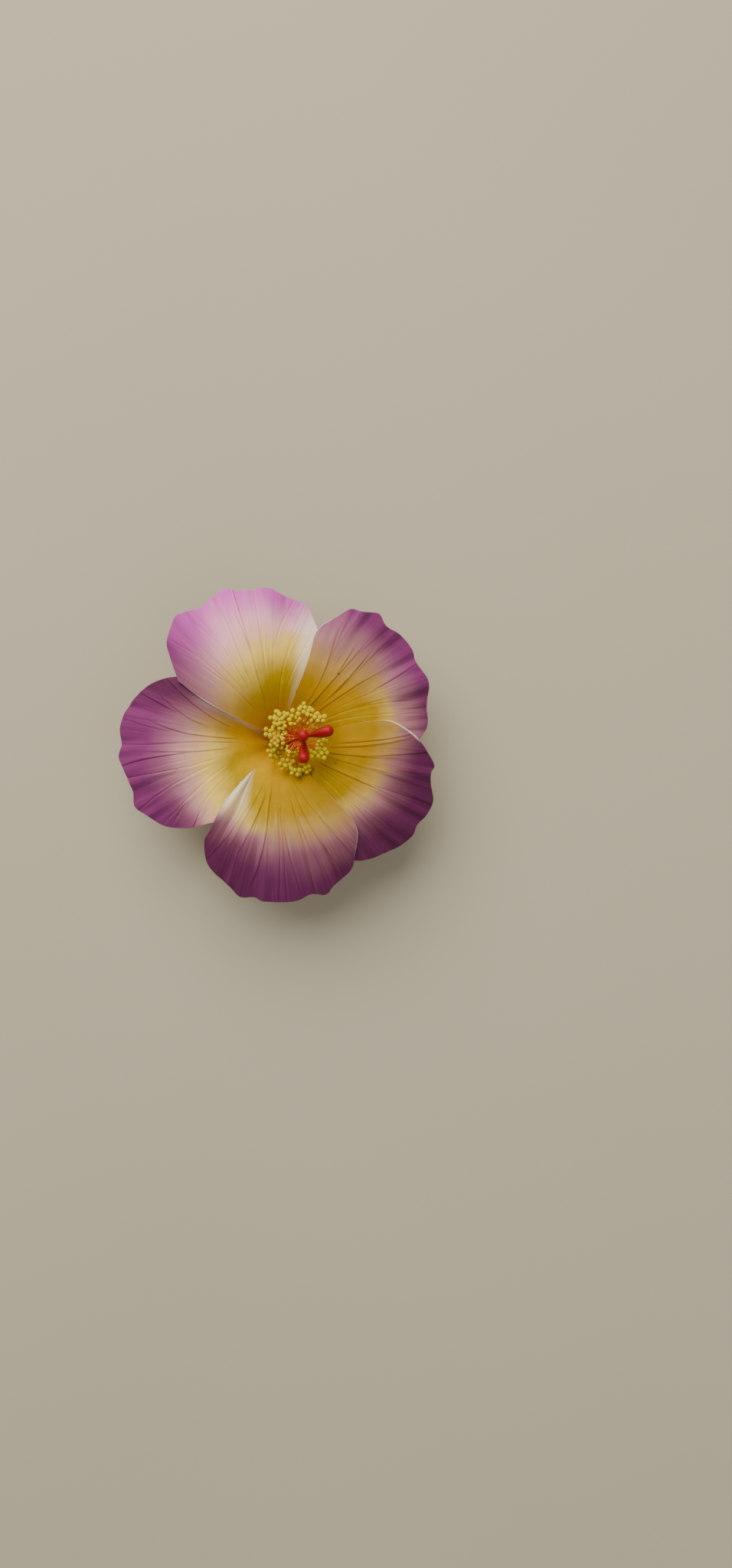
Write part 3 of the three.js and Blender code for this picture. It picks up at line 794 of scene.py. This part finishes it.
# how many millimetres the colours wander with fine streaks, patches and broad streaks
FINE_WANDER = 0.3
PATCH_WANDER = 2.4
BROAD_WANDER = 0.8
BROAD_STREAK = 0.35
BROAD_STARTS = (12, 30)
BAND_EASES = (1, 1, 1.6)  # above 1, the outer colour comes on fast and then slowly
DYE_DEPTH_AND_SHADE_STREAK = 0.03
AMBER_STRENGTH = 0.8
AMBER_ENDS = (7, 20)
AMBER_STREAK = 1.5


def dye_fields(shape, bearing, radius):
    """Where the dyes lie on a petal, each field between 0 and 1; how deep the dye lies also carries
    painted shade.
    """
    seed = shape["seed"]
    streak = streaks(bearing, radius, seed)
    patch = undulation(bearing, radius, seed + 7)
    broad = streaks(BROAD_STREAK * bearing, radius, seed + 3) * smooth(radius, *BROAD_STARTS)
    blurred = radius + FINE_WANDER * streak + PATCH_WANDER * patch - BROAD_WANDER * broad
    stops = [lookup(shape["bands"], column, bearing) for column in (1, 2, 3, 4)]
    band = np.zeros_like(radius)
    for inner, outer, ease in zip(stops, stops[1:], BAND_EASES):
        rest = 1 - passed(blurred, inner, outer)
        band = band + (1 - rest**ease) / len(BAND_EASES)
    throat, rim = (lookup(shape["dye_depth_and_shade"], column, bearing) for column in (1, 2))
    # deeper dye and painted shade together, by bearing, from throat to rim
    dye_depth_and_shade = lerp(throat, rim, smooth(band, 0.2, 0.95)) + DYE_DEPTH_AND_SHADE_STREAK * streak
    depth = AMBER_STRENGTH * (1 - smooth(radius + AMBER_STREAK * streak, *AMBER_ENDS))
    fibre = 0.5 + 0.5 * np.sin(bearing * 8 + 3 * streak) * (0.55 + 0.45 * patch)
    return {"band": band, "dye_depth_and_shade": np.clip(dye_depth_and_shade, 0, 1), "depth": depth, "fibre": fibre}


EDGE_PALENESS_AND_HIGHLIGHT = 0.15
EDGE_ENDS = (0.1, 0.4)
FLAP_BARENESS = 0.42
LIP_BARENESS = 0.45
FOLD_BARENESS = 0.2
FLAP_DYE_RETURNS = (23, 35)


def bareness_and_highlight(shape, bearing, radius, edge, folded):
    """Where the dye is missing: along the edges, in strips and on the folded margin; the pale edges are
    partly painted highlight where an edge catches the light.
    """
    # a little paleness along every edge, partly bare tissue and partly painted highlight
    bare = EDGE_PALENESS_AND_HIGHLIGHT * (1 - smooth(edge, *EDGE_ENDS))
    for strip, first, last, first_width, last_width, first_share, last_share in shape.get("bare", []):
        along = passed(radius, first, last)
        width = lerp(first_width, last_width, along**1.6)
        away = np.abs(np.radians(bearing - strip)) * radius
        fade = window(radius, (first - 3, first + 3), (last - 9, last + 2))
        strength = lerp(first_share, last_share, smooth(along, 0.2, 0.7)) * fade
        bare = np.maximum(bare, strength * (1 - smooth(away, 0.1 * width, 2.1 * width)))
    # pale lines along some edges: bare tissue and a painted highlight where the edge catches the light
    for first, last, start, end, width, strength in shape.get("pale_edge_and_highlight", []):
        fade = window(bearing, (first - 2, first + 2), (last - 1, last + 1))
        fade = fade * window(radius, (start - 3, start + 3), (end - 4, end + 4))
        reached = width * (0.5 + 0.5 * smooth(radius, 15, 40))
        bare = np.maximum(bare, strength * fade * (1 - smooth(edge, 0.4 * reached, 1.5 * reached)))
    share, fade = folded
    lip = LIP_BARENESS * smooth(share, 0.5, 0.9) + FOLD_BARENESS * hump(share - 0.08, 0.12)
    faded = fade * (1 - smooth(radius, *FLAP_DYE_RETURNS))
    return np.maximum(bare, faded * smooth(share, -1, 0.2) * (FLAP_BARENESS + lip))


# dark specks: bearing, distance from the axis and size
SPECKS = {
    "petal_upper_right": [(46, 31.5, 0.36), (66, 18.8, 0.32), (35, 32.8, 0.2)],
    "petal_right": [(-21, 22.6, 0.36)],
    "petal_left": [(197, 35, 0.36)],
}
BACK_DYE_DEPTH_AND_SHADE = 0.5
THINNING = (0.6, 1)  # the blade thins between these shares of its length


def speckled(name, bearing, radius):
    """Where the specks of a petal lie."""
    x, y = flat(bearing, radius)
    found = np.zeros_like(radius)
    for speck_bearing, distance, size in SPECKS.get(name, []):
        speck_x, speck_y = flat(speck_bearing, distance)
        away = np.hypot(x - speck_x, y - speck_y)
        found = np.maximum(found, 1 - smooth(away, 0.4 * size, size))
    return found


def petal(name, shape, material):
    points, bearing, radius, reach, folded, (shade, ridge) = petal_surface(shape)
    normal = np.cross(np.gradient(points, axis=0), np.gradient(points, axis=1))
    normal /= np.linalg.norm(normal, axis=2)[:, :, None]
    edge = edge_distance(points)
    half = 0.5 * lerp(*BLADE_THICKNESS, smooth(radius / reach, *THINNING))
    rounded = np.sqrt(1 - (1 - np.clip(edge / ROUNDING, 0, 1)) ** 2)
    lift = normal * (half * rounded)[:, :, None]
    none = np.zeros_like(radius)
    fields = dye_fields(shape, bearing, radius)
    fields["bare"] = bareness_and_highlight(shape, bearing, radius, edge, folded)
    # vein carries the painted shade of the grooves, and the ridge field the painted highlight beside
    # them
    fields.update(vein=shade, ridge=ridge, speck=speckled(name, bearing, radius), back=none)
    # the back of the petal is paler, and its edge points are those of the front
    back = dict(fields, dye_depth_and_shade=BACK_DYE_DEPTH_AND_SHADE * fields["dye_depth_and_shade"], speck=none, back=none + 1)
    front_ids = np.arange(radius.size).reshape(radius.shape)
    inner = np.zeros(radius.shape, bool)
    inner[1:-1, 1:-1] = True
    back_ids = front_ids.copy()
    back_ids[inner] = radius.size + np.arange(inner.sum())
    all_points = np.concatenate([(points + lift).reshape(-1, 3), (points - lift)[inner]])
    all_fields = {k: np.concatenate([fields[k].reshape(-1), back[k][inner]]) for k in fields}

    def quads(ids):
        corners = [ids[:-1, :-1], ids[1:, :-1], ids[1:, 1:], ids[:-1, 1:]]
        return np.stack(corners, axis=2).reshape(-1, 4)

    faces = np.concatenate([quads(front_ids), quads(back_ids)[:, ::-1]])
    make_object(name + "_blade", all_points, faces.tolist(), material, [name], all_fields)


# -------- stamens and pistil

COLUMN = [(0, 0, 11.75), (4.5, 0, 27), (10, 0.4, 43.4)]
COLUMN_RADII = (1.9, 1.3)  # at its foot and at its tip
COLUMN_STEPS = 40
COLUMN_SIDES = 28
FILAMENT_ROOT = 0.6  # how deep a filament starts inside the column
# first and last bearing, lowest and highest share of the column, reach, number of
# filaments, and how many beads each of them carries in the solids
ANTHER_GROUPS = [
    (115, 143, 0.66, 0.8, 9, 4, 4),
    (150, 238, 0.48, 0.72, 7.2, 8, 3),
    (253, 297, 0.5, 0.66, 10, 5, 3),
    (302, 350, 0.82, 0.94, 9, 4, 3),
    (32, 106, 0.78, 0.94, 9.8, 6, 3),
    (60, 300, 0.78, 0.94, 4.8, 4, 1),
]
REACH_SPREAD = (0.78, 1.12)
FILAMENT_RISE = (0.05, 0.3)
FILAMENT_SAG = 0.1
THREAD_RADIUS = 0.14
THREAD_TAPER = (1.15, 0.85)
THREAD_STEPS = 9
THREAD_SIDES = 8
STALK_RADIUS = 0.09
STALK_FORK = 0.55  # a cluster's stalks leave the filament at this share of its length
BEAD_RADIUS = 0.82
BEAD_SPREAD = 0.12  # beads are up to this share smaller or larger
BEAD_STRETCH = 0.12  # how much wider one way than another
CLUSTER_RADIUS = 1.8
CLUSTER_HEIGHT = 1.5
CLUSTER_BEADS = 6
CLUSTER_TRIES = 60
BEAD_CLEARANCE = 0.88  # of the sum of two radii
# how peach the beads are: lone ones, those of a rare warm cluster, the others, and by chance
LONE_WARMTH = 0.4
PEACH_WARMTH = 0.5
PEACH_SHARE = 0.03
PLAIN_WARMTH = 0.2
WARMTH_SPREAD = 0.15
# short threads between the filaments: the longer they are, the riper the bead
SHORT_THREADS = 120
SHORT_SHARES = (0.5, 0.98)
SHORT_BEARINGS = (50, 300)
SHORT_REACH = (2.4, 6.4)
SHORT_RISE = (0.1, 0.6)
SHORT_ROOT = 0.9
SHORT_RADIUS = 0.12
RIPENING = (4.1, 5.1)
RIPENING_RADII = (0.22, 0.62)
RIPENING_WARMTHS = (1, 0.07)


def icosphere(levels):
    """Points and faces of a round bead with a radius of 1."""
    g = (1 + 5**0.5) / 2
    corners = [(-1, g, 0), (1, g, 0), (-1, -g, 0), (1, -g, 0)]
    points = [np.roll(c, k) / np.linalg.norm(c) for k in range(3) for c in corners]
    faces = [(0, 11, 5), (0, 5, 1), (0, 1, 7), (0, 7, 10), (0, 10, 11), (1, 5, 9), (5, 11, 4),
             (11, 10, 2), (10, 7, 6), (7, 1, 8), (3, 9, 4), (3, 4, 2), (3, 2, 6), (3, 6, 8),
             (3, 8, 9), (4, 9, 5), (2, 4, 11), (6, 2, 10), (8, 6, 7), (9, 8, 1)]
    for _ in range(levels):
        halves, finer = {}, []

        def half(a, b):
            key = (min(a, b), max(a, b))
            if key not in halves:
                middle = points[a] + points[b]
                points.append(middle / np.linalg.norm(middle))
                halves[key] = len(points) - 1
            return halves[key]

        for a, b, c in faces:
            ab, bc, ca = half(a, b), half(b, c), half(c, a)
            finer += [(a, ab, ca), (b, bc, ab), (c, ca, bc), (ab, bc, ca)]
        faces = finer
    return np.array(points), faces


def cluster(tip, count, draw):
    """Centres and radii of beads round a filament's tip, which touch but stay apart."""
    beads = [(tip, BEAD_RADIUS)]
    for _ in range(CLUSTER_TRIES):
        if len(beads) == count:
            break
        radius = BEAD_RADIUS * (1 + BEAD_SPREAD * (2 * draw() - 1))
        off = polar(360 * draw(), CLUSTER_RADIUS * draw() ** 0.5, CLUSTER_HEIGHT * (draw() - 0.55))
        place = tip + off
        if all(np.linalg.norm(place - p) > BEAD_CLEARANCE * (radius + r) for p, r in beads):
            beads.append((place, radius))
    return beads


def stamens(bead_look, thread_look):
    draw = seeded(7)
    more = seeded(91)
    ball, ball_faces = icosphere(2)
    beads, threads = Heap("warm"), Heap("along")

    def bead(centre, radius, warm):
        stretch = 1 + BEAD_STRETCH * (np.array([more(), more(), more()]) - 0.5)
        beads.add(centre + radius * stretch * ball, ball_faces, warm=warm)

    def thread(root, tip, radius, first=0.1, last=1.0):
        reach = np.linalg.norm(tip - root)
        bend = (root + tip) / 2 - np.array([0, 0, FILAMENT_SAG * reach])
        line = bezier([root, bend, tip], np.linspace(0, 1, THREAD_STEPS))
        radii = np.linspace(*THREAD_TAPER, THREAD_STEPS) * radius
        points, faces = tube(line, radii, THREAD_SIDES)
        along = first + (last - first) * np.linalg.norm(points - root, axis=1) / reach
        threads.add(points, faces, along=along)

    shares = np.linspace(0, 1, COLUMN_STEPS)
    radii = lerp(*COLUMN_RADII, shares)
    points, faces = tube(bezier(COLUMN, shares), radii, COLUMN_SIDES)
    threads.add(points, faces, along=0.0)

    for start, end, low, high, long, count, grains in ANTHER_GROUPS:
        for index in range(count):
            share = lerp(low, high, draw())
            outward = polar(lerp(start, end, (index + draw()) / count), 1)
            axis_point = bezier(COLUMN, [share])[0]
            reach = long * lerp(*REACH_SPREAD, draw())
            tip = axis_point + reach * outward
            tip[2] += reach * lerp(*FILAMENT_RISE, draw())
            skin = lerp(*COLUMN_RADII, share)
            root = axis_point + outward * (skin - FILAMENT_ROOT)
            thread(root, tip, THREAD_RADIUS)
            for _ in range(grains):
                draw()  # the turn and the sizes of the solids' own beads
            if grains == 1:
                bead(tip, BEAD_RADIUS, LONE_WARMTH)
                continue
            warm = PEACH_WARMTH if more() < PEACH_SHARE else PLAIN_WARMTH * more() ** 2
            for place, radius in cluster(tip, CLUSTER_BEADS, more):
                bead(place, radius, warm + WARMTH_SPREAD * more())
                if place is not tip:
                    thread(lerp(root, place, STALK_FORK), place, STALK_RADIUS, 0.5)
    for _ in range(SHORT_THREADS):
        share = lerp(*SHORT_SHARES, more())
        bearing = lerp(*SHORT_BEARINGS, more())
        axis_point = bezier(COLUMN, [share])[0]
        reach = lerp(*SHORT_REACH, more())
        ripe = smooth(reach, *RIPENING)
        tip = axis_point + polar(bearing, reach, reach * lerp(*SHORT_RISE, more()))
        thread(axis_point + polar(bearing, SHORT_ROOT), tip, SHORT_RADIUS, 0.15, 0.8)
        size = lerp(*RIPENING_RADII, ripe) * lerp(0.85, 1.1, more())
        bead(tip, size, lerp(*RIPENING_WARMTHS, ripe) * lerp(0.7, 1, more()))
    beads.build("anther_beads", bead_look, "anther", ["stamens"])
    threads.build("column_and_filaments", thread_look, "stigma", ["stamens"])


STYLE_RADIUS = 0.62
STYLE_FOOT_DEPTH = 2.3
STYLE_FORK = np.array([10.5, 0.5, 44.9])
STYLE_STEPS = 12
STYLE_SIDES = 20
STIGMA_LENGTH = 10.6
STIGMA_RADIUS = 1.92
STIGMA_NECK_RADIUS = 0.45
STIGMA_SWELLS = (0.04, 0.74)  # the club widens between these shares of its length
STIGMA_SAG = 0.35
STIGMA_STEPS = 40
STIGMA_SIDES = 32
STIGMAS = [(20, 87), (13, 12), (-87, 35)]  # bearing and rise of each


def pistil(look):
    heap = Heap("along")
    direction = np.array(COLUMN[2]) - np.array(COLUMN[1])
    direction = direction / np.linalg.norm(direction)
    foot = np.array(COLUMN[2]) - STYLE_FOOT_DEPTH * direction
    line = foot + np.linspace(0, 1, STYLE_STEPS)[:, None] * (STYLE_FORK - foot)
    points, faces = tube(line, np.full(STYLE_STEPS, STYLE_RADIUS), STYLE_SIDES)
    heap.add(points, faces, along=0.1)
    shares = np.sin(np.linspace(0, math.pi / 2, STIGMA_STEPS))  # closer towards the round end
    round_start = 1 - STIGMA_RADIUS / STIGMA_LENGTH
    past = passed(shares, round_start, 1)
    round_end = STIGMA_RADIUS * np.sqrt(np.clip(1 - past**2, 0.0004, 1))
    club = lerp(STIGMA_NECK_RADIUS, STIGMA_RADIUS, smooth(shares, *STIGMA_SWELLS))
    radii = np.where(shares > round_start, round_end, club)
    for bearing, rise in STIGMAS:
        aim = polar(bearing, math.cos(math.radians(rise)), math.sin(math.radians(rise)))
        tip = STYLE_FORK + STIGMA_LENGTH * aim
        bend = STYLE_FORK + 0.5 * STIGMA_LENGTH * aim - np.array([0, 0, STIGMA_SAG])
        line = bezier([STYLE_FORK, bend, tip], shares)
        points, faces = tube(line, radii, STIGMA_SIDES)
        along = np.clip(np.linalg.norm(points - STYLE_FORK, axis=1) / STIGMA_LENGTH, 0, 1)
        heap.add(points, faces, along=along)
    heap.build("style_and_stigmas", look, "stigma", ["pistil"])


# -------- calyx and stalk

CALYX_PROFILE = [(4.2, 7.4), (5.9, 11), (7.6, 15.2), (10.3, 19.2), (14.4, 22.4), (17.6, 23.2)]
CALYX_FOOT = (2.6, 6.3)
CALYX_FLOOR = 10.9
CALYX_FLOOR_SHARE = 0.18
CALYX_THICKNESS = 0.8
CALYX_ROUNDING = 0.04  # the share of a sepal's length over which its rim is rounded
CALYX_RIB = 0.16
SEPALS = 5
SEPAL_BEARING = 70
SEPAL_NOTCH = 0.5
CALYX_COLUMNS = 240
CALYX_ROWS = 34
PROFILE_STEPS = 400


def sepal_phase(bearing):
    """How far a bearing is from the nearest sepal's tip: 0 at the tip, 1 at the notch."""
    phase = (bearing - SEPAL_BEARING) * SEPALS / 360
    return np.abs(phase - np.round(phase)) * 2


def calyx(look):
    bearings = 360 * np.arange(CALYX_COLUMNS) / CALYX_COLUMNS
    phase = sepal_phase(bearings)
    full = lerp(1, SEPAL_NOTCH, phase**0.85)
    fine = np.linspace(0, 1, PROFILE_STEPS)
    profile = catmull_rom(CALYX_PROFILE, fine)
    slope = np.gradient(profile, axis=0)
    slope /= np.linalg.norm(slope, axis=1)[:, None]

    def circle(radius, height):
        return np.stack([*flat(bearings, radius), height], axis=1)

    def ring(start, rise, side):
        """A ring of points round the cup's wall, on its outer side or on its inner one."""
        share = lerp(start, full, rise)
        r, z = (np.interp(share, fine, profile[:, k]) for k in (0, 1))
        tr, tz = (np.interp(share, fine, slope[:, k]) for k in (0, 1))
        rib = CALYX_RIB * np.cos(TAU * phase * 2.5) * smooth(rise, 0.05, 0.4)
        end = max(rise - (1 - CALYX_ROUNDING), 0) / CALYX_ROUNDING
        half = side * (CALYX_THICKNESS / 2) * math.sqrt(1 - 0.96 * end**2)
        half = half + (rib if side > 0 else 0) * (1 - rise)
        return circle(r + tz * half, z - tr * half)

    rises = np.linspace(0, 1, CALYX_ROWS)
    rings = [circle(CALYX_FOOT[0], np.full(CALYX_COLUMNS, CALYX_FOOT[1]))]
    rings += [ring(0, rise, 1) for rise in rises]
    rings += [ring(CALYX_FLOOR_SHARE, rise, -1) for rise in rises[::-1]]
    rings += [circle(CALYX_FOOT[0], np.full(CALYX_COLUMNS, CALYX_FLOOR))]
    foot, floor_middle = np.array([[0, 0, CALYX_FOOT[1]]]), np.array([[0, 0, CALYX_FLOOR]])
    points = np.concatenate([foot, *rings, floor_middle])
    midrib = 1 - smooth(phase, 0.0, 0.07)
    seam = 1 - smooth(1 - phase, 0.0, 0.05)
    nerve = 0.6 * (1 - smooth(np.abs(phase - 0.45), 0.0, 0.05))
    vein = np.tile(np.maximum.reduce([midrib, seam, nerve]), len(rings))
    fields = {"vein": np.concatenate([[0], vein, [0]]), "cut": np.zeros(len(points))}
    faces = closed_faces(len(rings), CALYX_COLUMNS)
    make_object("calyx_cup", points, faces, look, ["calyx"], fields)


STALK_OUTLINE = [(0.5, 2.3), (1.2, 2.3), (2.6, 2), (4.6, 2.9), (6, 2.9)]  # height, radius
STALK_STEPS = 40
STALK_SIDES = 36
STALK_RIBS = 9
STALK_RIB_HEIGHT = 0.02  # as a share of the radius
CUT_HEIGHT = 0.2  # the pale cut reaches this far up the stalk
BRACTS = 6
BRACT_FIRST = -17
BRACT_FOOT_PATH = [(1.6, 0, 4.2), (7, 0, 6.8), (13, 0, 0.212)]
BRACT_FREE_PATH = [(1.6, 0, 4.2), (7.4, 0, 7), (12.4, 0, 2.4)]
BRACT_WIDTH = 2.3
BRACT_THICKNESS = 0.9
BRACT_STEPS = 36
BRACT_SIDES = 16


def bract(path):
    """Points and faces of a flat, pointed leaf along path, and the paleness of its keel."""
    share = np.linspace(0, 1, BRACT_STEPS)
    line = bezier(path, share)
    widths = (BRACT_WIDTH / 2) * lerp(1, 0.16, smooth(share, 0.35, 1))
    thick = (BRACT_THICKNESS / 2) * lerp(1, 0.7, share)
    tip_round = np.sqrt(np.clip(1 - passed(share, 0.95, 1) ** 2, 0.01, 1))
    points, faces = tube(line, np.ones(BRACT_STEPS), BRACT_SIDES)

    def spread(values, ends):
        """Values at each point: one for a ring of the tube, and ends for its two ends."""
        return np.concatenate([ends[:1], np.repeat(values, BRACT_SIDES, axis=0), ends[1:]])

    centres = spread(line, line[[0, -1]])
    wide = spread(widths * tip_round, widths[[0, -1]] * (1, 0.1))
    deep = spread(thick * tip_round, thick[[0, -1]] * (1, 0.1))
    off = points - centres
    lateral = off[:, 1].copy()
    off[:, 1] = 0
    points = centres + off * deep[:, None]
    points[:, 1] += lateral * wide
    return points, faces, 0.8 * (1 - smooth(np.abs(lateral), 0.1, 0.35))


def stalk(look):
    heap = Heap("vein", "cut")
    end = STALK_OUTLINE[0][0]
    heights = np.linspace(end, STALK_OUTLINE[-1][0], STALK_STEPS)
    centres = heights[:, None] * (0, 0, 1)
    points, faces = tube(centres, lookup(STALK_OUTLINE, 1, heights), STALK_SIDES)
    ribs = np.cos(STALK_RIBS * np.arctan2(points[:, 1], points[:, 0]))
    points[:, :2] *= 1 + STALK_RIB_HEIGHT * ribs[:, None]
    cut = 1 - smooth(points[:, 2], end, end + CUT_HEIGHT)
    heap.add(points, faces, vein=0.2 + 0.2 * ribs, cut=cut)
    for k in range(BRACTS):
        points, faces, keel = bract(BRACT_FOOT_PATH if k % 2 == 0 else BRACT_FREE_PATH)
        turn = math.radians(360 * k / BRACTS + BRACT_FIRST)
        c, s = math.cos(turn), math.sin(turn)
        points = points @ np.array([[c, s, 0], [-s, c, 0], [0, 0, 1]])
        points[:, 2] = np.maximum(points[:, 2], 0)
        heap.add(points, faces, vein=keel, cut=0.0)
    heap.build("cut_stalk_and_bracts", look, "green", ["stalk"])


# -------- floor, lights, camera

CAMERA = np.array([31.47, -15.3, 451]) + AXIS
LENS = 27.85  # for a 36 mm sensor along the long side

# the rest of this section is in metres
FLOOR_HALF = 2.0
FLOOR_DEPTH = 0.0002  # how far the floor lies under the feet
LIGHT_TARGET = Vector((0, 0, 0.02))
LIGHTS = {  # place, size, watts and colour
    "key": ((-0.32, 0.87, 1.02), 1.5, 31, (1.0, 0.95, 0.86)),
    "fill": ((0.5, -0.3, 1.2), 1.2, 3.0, (0.97, 0.98, 1.0)),
}
SKY_COLOUR = (1.0, 0.97, 0.93, 1)
SKY_STRENGTH = 0.32


def floor():
    mesh = bpy.data.meshes.new("floor")
    signs = [(-1, -1), (1, -1), (1, 1), (-1, 1)]
    corners = [(x * FLOOR_HALF, y * FLOOR_HALF, -FLOOR_DEPTH) for x, y in signs]
    mesh.from_pydata(corners, [], [(0, 1, 2, 3)])
    mesh.materials.append(floor_finish())
    add_object("floor", mesh)


def lights():
    for name, (place, size, watts, colour) in LIGHTS.items():
        data = bpy.data.lights.new(name, "AREA")
        data.shape = "DISK"
        data.size = size
        data.energy = watts
        data.color = colour
        light = add_object(name, data)
        light.location = place
        aim = LIGHT_TARGET - Vector(place)
        light.rotation_euler = aim.to_track_quat("-Z", "Y").to_euler()
    world = bpy.data.worlds.new("studio")
    world.use_nodes = True
    background = world.node_tree.nodes["Background"]
    background.inputs["Color"].default_value = SKY_COLOUR
    background.inputs["Strength"].default_value = SKY_STRENGTH
    bpy.context.scene.world = world


def camera():
    data = bpy.data.cameras.new("camera")
    data.lens = LENS
    data.sensor_width = 36
    data.clip_start = 0.01
    data.clip_end = 20
    eye = add_object("camera", data)
    eye.location = CAMERA * MM
    bpy.context.scene.camera = eye


# -------- the flower

camera()
lights()
floor()

tissue = petal_finish()
for petal_name, petal_shape in PETALS.items():
    petal(petal_name, petal_shape, tissue)
stamens(bead_finish(), filament_finish())
pistil(stigma_finish())
calyx(green_finish("calyx", (0.20, 0.30, 0.06, 1), (0.11, 0.19, 0.035, 1)))
stalk(green_finish("stalk", (0.17, 0.26, 0.06, 1), (0.10, 0.16, 0.035, 1)))

bpy.context.view_layer.update()
